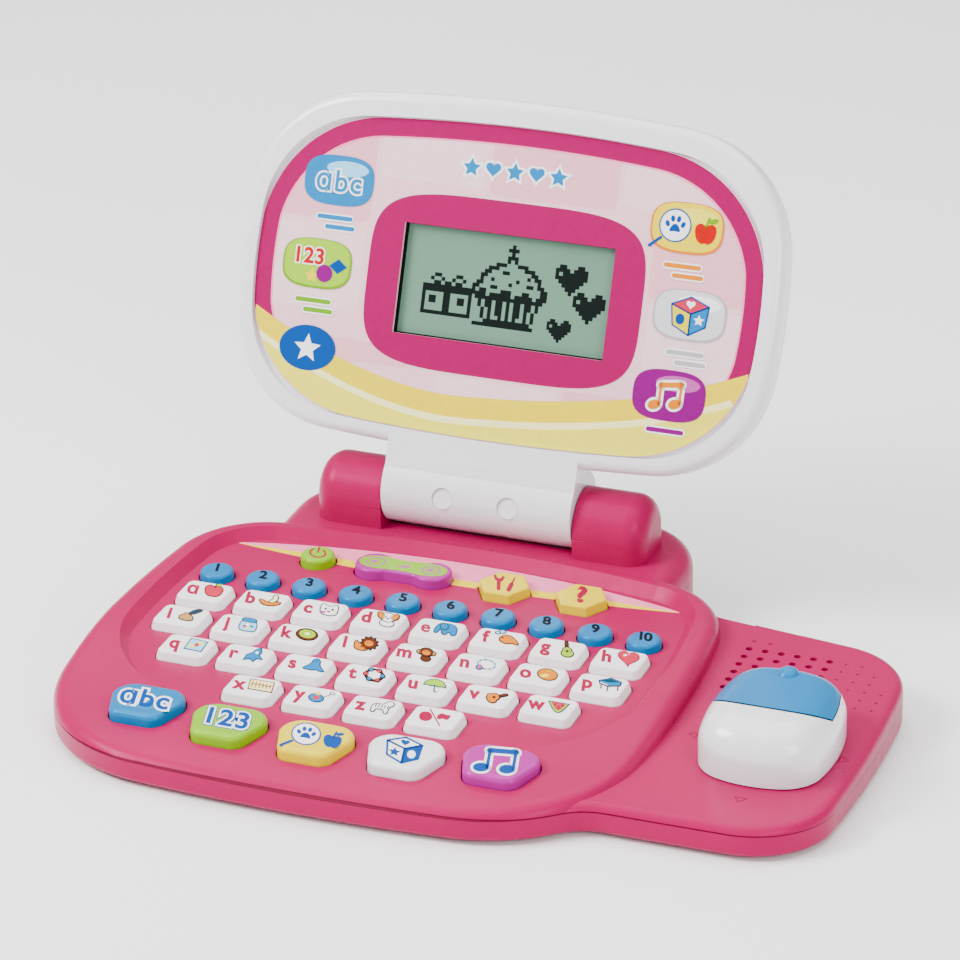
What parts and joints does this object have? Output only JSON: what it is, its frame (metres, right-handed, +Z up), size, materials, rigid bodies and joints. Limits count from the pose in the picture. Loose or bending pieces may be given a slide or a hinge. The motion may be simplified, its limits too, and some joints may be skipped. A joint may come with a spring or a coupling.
{
  "type": "toy laptop computer",
  "caption": "Child's toy laptop: hinged screen lid on a thick keyboard base with letter, number and mode keys, and a captive sliding mouse on a side platform.",
  "frame": {"origin": "centre of the bounding box, on the ground under the feet, with the lid open", "axes": "+X to the user's right (the mouse side), +Y to the rear, +Z up"},
  "size_m": [0.2894, 0.2442, 0.184],
  "materials": {
    "pink_plastic": "satin gloss",
    "white_plastic": "gloss",
    "blue_plastic": "gloss",
    "green_plastic": "gloss",
    "yellow_plastic": "gloss",
    "purple_plastic": "gloss",
    "printed_panel": "printed gloss",
    "display": "matte",
    "grey_rubber": "matte",
    "circuit_board": "satin",
    "zinc_screws": "zinc",
    "battery_jacket": "satin",
    "white_nylon": "matte"
  },
  "bodies": {
    "base": {"base_top_casing": "pink_plastic", "base_bottom_casing": "pink_plastic", "battery_door": "pink_plastic", "batteries": "battery_jacket", "key_mat": "grey_rubber", "circuit_board_and_speaker": "circuit_board", "screws": "zinc_screws"},
    "lid": {"lid_front_casing": "white_plastic", "lid_back_casing": "white_plastic", "screen_panel": "printed_panel", "lcd_module": "display"},
    "mouse_carriage": {"mouse_carriage": "white_nylon"},
    "mouse": {"mouse_shell": "white_plastic"},
    "mouse_button": {"mouse_button": "blue_plastic"},
    "key_a": {"key_a": "white_plastic"},
    "key_b": {"key_b": "white_plastic"},
    "key_c": {"key_c": "white_plastic"},
    "key_d": {"key_d": "white_plastic"},
    "key_e": {"key_e": "white_plastic"},
    "key_f": {"key_f": "white_plastic"},
    "key_g": {"key_g": "white_plastic"},
    "key_h": {"key_h": "white_plastic"},
    "key_i": {"key_i": "white_plastic"},
    "key_j": {"key_j": "white_plastic"},
    "key_k": {"key_k": "white_plastic"},
    "key_l": {"key_l": "white_plastic"},
    "key_m": {"key_m": "white_plastic"},
    "key_n": {"key_n": "white_plastic"},
    "key_o": {"key_o": "white_plastic"},
    "key_p": {"key_p": "white_plastic"},
    "key_q": {"key_q": "white_plastic"},
    "key_r": {"key_r": "white_plastic"},
    "key_s": {"key_s": "white_plastic"},
    "key_t": {"key_t": "white_plastic"},
    "key_u": {"key_u": "white_plastic"},
    "key_v": {"key_v": "white_plastic"},
    "key_w": {"key_w": "white_plastic"},
    "key_x": {"key_x": "white_plastic"},
    "key_y": {"key_y": "white_plastic"},
    "key_z": {"key_z": "white_plastic"},
    "key_function": {"key_function": "white_plastic"},
    "key_1": {"key_1": "blue_plastic"},
    "key_2": {"key_2": "blue_plastic"},
    "key_3": {"key_3": "blue_plastic"},
    "key_4": {"key_4": "blue_plastic"},
    "key_5": {"key_5": "blue_plastic"},
    "key_6": {"key_6": "blue_plastic"},
    "key_7": {"key_7": "blue_plastic"},
    "key_8": {"key_8": "blue_plastic"},
    "key_9": {"key_9": "blue_plastic"},
    "key_10": {"key_10": "blue_plastic"},
    "mode_abc": {"mode_abc": "blue_plastic"},
    "mode_numbers": {"mode_numbers": "green_plastic"},
    "mode_animals": {"mode_animals": "yellow_plastic"},
    "mode_logic": {"mode_logic": "white_plastic"},
    "mode_music": {"mode_music": "purple_plastic"},
    "power_button": {"power_button": "green_plastic"},
    "button_tools": {"button_tools": "yellow_plastic"},
    "button_help": {"button_help": "yellow_plastic"},
    "rocker_key": {"rocker_key": "purple_plastic"}
  },
  "joints": [
    {"name": "lid_hinge", "type": "hinge", "parent": "base", "child": "lid", "pos_m": [-0.03475, 0.07224, 0.04163], "axis": [1, 0, 0], "range_deg": [-8, 112]},
    {"name": "key_a_press", "type": "slide", "parent": "base", "child": "key_a", "axis": [0, 0.0523, -0.9986], "range_m": [0, 0.0015], "stiffness_N_per_m": 250, "springref_m": -0.002},
    {"name": "key_b_press", "type": "slide", "parent": "base", "child": "key_b", "axis": [0, 0.0523, -0.9986], "range_m": [0, 0.0015], "stiffness_N_per_m": 250, "springref_m": -0.002},
    {"name": "key_c_press", "type": "slide", "parent": "base", "child": "key_c", "axis": [0, 0.0523, -0.9986], "range_m": [0, 0.0015], "stiffness_N_per_m": 250, "springref_m": -0.002},
    {"name": "key_d_press", "type": "slide", "parent": "base", "child": "key_d", "axis": [0, 0.0523, -0.9986], "range_m": [0, 0.0015], "stiffness_N_per_m": 250, "springref_m": -0.002},
    {"name": "key_e_press", "type": "slide", "parent": "base", "child": "key_e", "axis": [0, 0.0523, -0.9986], "range_m": [0, 0.0015], "stiffness_N_per_m": 250, "springref_m": -0.002},
    {"name": "key_f_press", "type": "slide", "parent": "base", "child": "key_f", "axis": [0, 0.0523, -0.9986], "range_m": [0, 0.0015], "stiffness_N_per_m": 250, "springref_m": -0.002},
    {"name": "key_g_press", "type": "slide", "parent": "base", "child": "key_g", "axis": [0, 0.0523, -0.9986], "range_m": [0, 0.0015], "stiffness_N_per_m": 250, "springref_m": -0.002},
    {"name": "key_h_press", "type": "slide", "parent": "base", "child": "key_h", "axis": [0, 0.0523, -0.9986], "range_m": [0, 0.0015], "stiffness_N_per_m": 250, "springref_m": -0.002},
    {"name": "key_i_press", "type": "slide", "parent": "base", "child": "key_i", "axis": [0, 0.0523, -0.9986], "range_m": [0, 0.0015], "stiffness_N_per_m": 250, "springref_m": -0.002},
    {"name": "key_j_press", "type": "slide", "parent": "base", "child": "key_j", "axis": [0, 0.0523, -0.9986], "range_m": [0, 0.0015], "stiffness_N_per_m": 250, "springref_m": -0.002},
    {"name": "key_k_press", "type": "slide", "parent": "base", "child": "key_k", "axis": [0, 0.0523, -0.9986], "range_m": [0, 0.0015], "stiffness_N_per_m": 250, "springref_m": -0.002},
    {"name": "key_l_press", "type": "slide", "parent": "base", "child": "key_l", "axis": [0, 0.0523, -0.9986], "range_m": [0, 0.0015], "stiffness_N_per_m": 250, "springref_m": -0.002},
    {"name": "key_m_press", "type": "slide", "parent": "base", "child": "key_m", "axis": [0, 0.0523, -0.9986], "range_m": [0, 0.0015], "stiffness_N_per_m": 250, "springref_m": -0.002},
    {"name": "key_n_press", "type": "slide", "parent": "base", "child": "key_n", "axis": [0, 0.0523, -0.9986], "range_m": [0, 0.0015], "stiffness_N_per_m": 250, "springref_m": -0.002},
    {"name": "key_o_press", "type": "slide", "parent": "base", "child": "key_o", "axis": [0, 0.0523, -0.9986], "range_m": [0, 0.0015], "stiffness_N_per_m": 250, "springref_m": -0.002},
    {"name": "key_p_press", "type": "slide", "parent": "base", "child": "key_p", "axis": [0, 0.0523, -0.9986], "range_m": [0, 0.0015], "stiffness_N_per_m": 250, "springref_m": -0.002},
    {"name": "key_q_press", "type": "slide", "parent": "base", "child": "key_q", "axis": [0, 0.0523, -0.9986], "range_m": [0, 0.0015], "stiffness_N_per_m": 250, "springref_m": -0.002},
    {"name": "key_r_press", "type": "slide", "parent": "base", "child": "key_r", "axis": [0, 0.0523, -0.9986], "range_m": [0, 0.0015], "stiffness_N_per_m": 250, "springref_m": -0.002},
    {"name": "key_s_press", "type": "slide", "parent": "base", "child": "key_s", "axis": [0, 0.0523, -0.9986], "range_m": [0, 0.0015], "stiffness_N_per_m": 250, "springref_m": -0.002},
    {"name": "key_t_press", "type": "slide", "parent": "base", "child": "key_t", "axis": [0, 0.0523, -0.9986], "range_m": [0, 0.0015], "stiffness_N_per_m": 250, "springref_m": -0.002},
    {"name": "key_u_press", "type": "slide", "parent": "base", "child": "key_u", "axis": [0, 0.0523, -0.9986], "range_m": [0, 0.0015], "stiffness_N_per_m": 250, "springref_m": -0.002},
    {"name": "key_v_press", "type": "slide", "parent": "base", "child": "key_v", "axis": [0, 0.0523, -0.9986], "range_m": [0, 0.0015], "stiffness_N_per_m": 250, "springref_m": -0.002},
    {"name": "key_w_press", "type": "slide", "parent": "base", "child": "key_w", "axis": [0, 0.0523, -0.9986], "range_m": [0, 0.0015], "stiffness_N_per_m": 250, "springref_m": -0.002},
    {"name": "key_x_press", "type": "slide", "parent": "base", "child": "key_x", "axis": [0, 0.0523, -0.9986], "range_m": [0, 0.0015], "stiffness_N_per_m": 250, "springref_m": -0.002},
    {"name": "key_y_press", "type": "slide", "parent": "base", "child": "key_y", "axis": [0, 0.0523, -0.9986], "range_m": [0, 0.0015], "stiffness_N_per_m": 250, "springref_m": -0.002},
    {"name": "key_z_press", "type": "slide", "parent": "base", "child": "key_z", "axis": [0, 0.0523, -0.9986], "range_m": [0, 0.0015], "stiffness_N_per_m": 250, "springref_m": -0.002},
    {"name": "key_function_press", "type": "slide", "parent": "base", "child": "key_function", "axis": [0, 0.0523, -0.9986], "range_m": [0, 0.0015], "stiffness_N_per_m": 250, "springref_m": -0.002},
    {"name": "key_1_press", "type": "slide", "parent": "base", "child": "key_1", "axis": [0, 0.0523, -0.9986], "range_m": [0, 0.0015], "stiffness_N_per_m": 250, "springref_m": -0.002},
    {"name": "key_2_press", "type": "slide", "parent": "base", "child": "key_2", "axis": [0, 0.0523, -0.9986], "range_m": [0, 0.0015], "stiffness_N_per_m": 250, "springref_m": -0.002},
    {"name": "key_3_press", "type": "slide", "parent": "base", "child": "key_3", "axis": [0, 0.0523, -0.9986], "range_m": [0, 0.0015], "stiffness_N_per_m": 250, "springref_m": -0.002},
    {"name": "key_4_press", "type": "slide", "parent": "base", "child": "key_4", "axis": [0, 0.0523, -0.9986], "range_m": [0, 0.0015], "stiffness_N_per_m": 250, "springref_m": -0.002},
    {"name": "key_5_press", "type": "slide", "parent": "base", "child": "key_5", "axis": [0, 0.0523, -0.9986], "range_m": [0, 0.0015], "stiffness_N_per_m": 250, "springref_m": -0.002},
    {"name": "key_6_press", "type": "slide", "parent": "base", "child": "key_6", "axis": [0, 0.0523, -0.9986], "range_m": [0, 0.0015], "stiffness_N_per_m": 250, "springref_m": -0.002},
    {"name": "key_7_press", "type": "slide", "parent": "base", "child": "key_7", "axis": [0, 0.0523, -0.9986], "range_m": [0, 0.0015], "stiffness_N_per_m": 250, "springref_m": -0.002},
    {"name": "key_8_press", "type": "slide", "parent": "base", "child": "key_8", "axis": [0, 0.0523, -0.9986], "range_m": [0, 0.0015], "stiffness_N_per_m": 250, "springref_m": -0.002},
    {"name": "key_9_press", "type": "slide", "parent": "base", "child": "key_9", "axis": [0, 0.0523, -0.9986], "range_m": [0, 0.0015], "stiffness_N_per_m": 250, "springref_m": -0.002},
    {"name": "key_10_press", "type": "slide", "parent": "base", "child": "key_10", "axis": [0, 0.0523, -0.9986], "range_m": [0, 0.0015], "stiffness_N_per_m": 250, "springref_m": -0.002},
    {"name": "mode_abc_press", "type": "slide", "parent": "base", "child": "mode_abc", "axis": [0, 0.0523, -0.9986], "range_m": [0, 0.0013], "stiffness_N_per_m": 250, "springref_m": -0.002},
    {"name": "mode_numbers_press", "type": "slide", "parent": "base", "child": "mode_numbers", "axis": [0, 0.0523, -0.9986], "range_m": [0, 0.0013], "stiffness_N_per_m": 250, "springref_m": -0.002},
    {"name": "mode_animals_press", "type": "slide", "parent": "base", "child": "mode_animals", "axis": [0, 0.0523, -0.9986], "range_m": [0, 0.0013], "stiffness_N_per_m": 250, "springref_m": -0.002},
    {"name": "mode_logic_press", "type": "slide", "parent": "base", "child": "mode_logic", "axis": [0, 0.0523, -0.9986], "range_m": [0, 0.0013], "stiffness_N_per_m": 250, "springref_m": -0.002},
    {"name": "mode_music_press", "type": "slide", "parent": "base", "child": "mode_music", "axis": [0, 0.0523, -0.9986], "range_m": [0, 0.0013], "stiffness_N_per_m": 250, "springref_m": -0.002},
    {"name": "power_button_press", "type": "slide", "parent": "base", "child": "power_button", "axis": [0, 0.0523, -0.9986], "range_m": [0, 0.0015], "stiffness_N_per_m": 250, "springref_m": -0.002},
    {"name": "button_tools_press", "type": "slide", "parent": "base", "child": "button_tools", "axis": [0, 0.0523, -0.9986], "range_m": [0, 0.0015], "stiffness_N_per_m": 250, "springref_m": -0.002},
    {"name": "button_help_press", "type": "slide", "parent": "base", "child": "button_help", "axis": [0, 0.0523, -0.9986], "range_m": [0, 0.0015], "stiffness_N_per_m": 250, "springref_m": -0.002},
    {"name": "rocker_tilt", "type": "hinge", "parent": "base", "child": "rocker_key", "pos_m": [-0.05325, 0.033, 0.02035], "axis": [0, 0.9986, 0.0523], "range_deg": [-3.5, 3.5], "stiffness_Nm_per_rad": 0.4},
    {"name": "mouse_sideways", "type": "slide", "parent": "base", "child": "mouse_carriage", "axis": [1, 0, 0], "range_m": [-0.004, 0.004]},
    {"name": "mouse_fore_and_aft", "type": "slide", "parent": "mouse_carriage", "child": "mouse", "axis": [0, 0.9986, 0.0523], "range_m": [-0.004, 0.004]},
    {"name": "mouse_click", "type": "slide", "parent": "mouse", "child": "mouse_button", "axis": [0, 0.0523, -0.9986], "range_m": [0, 0.0005], "stiffness_N_per_m": 500, "springref_m": -0.001}
  ]
}
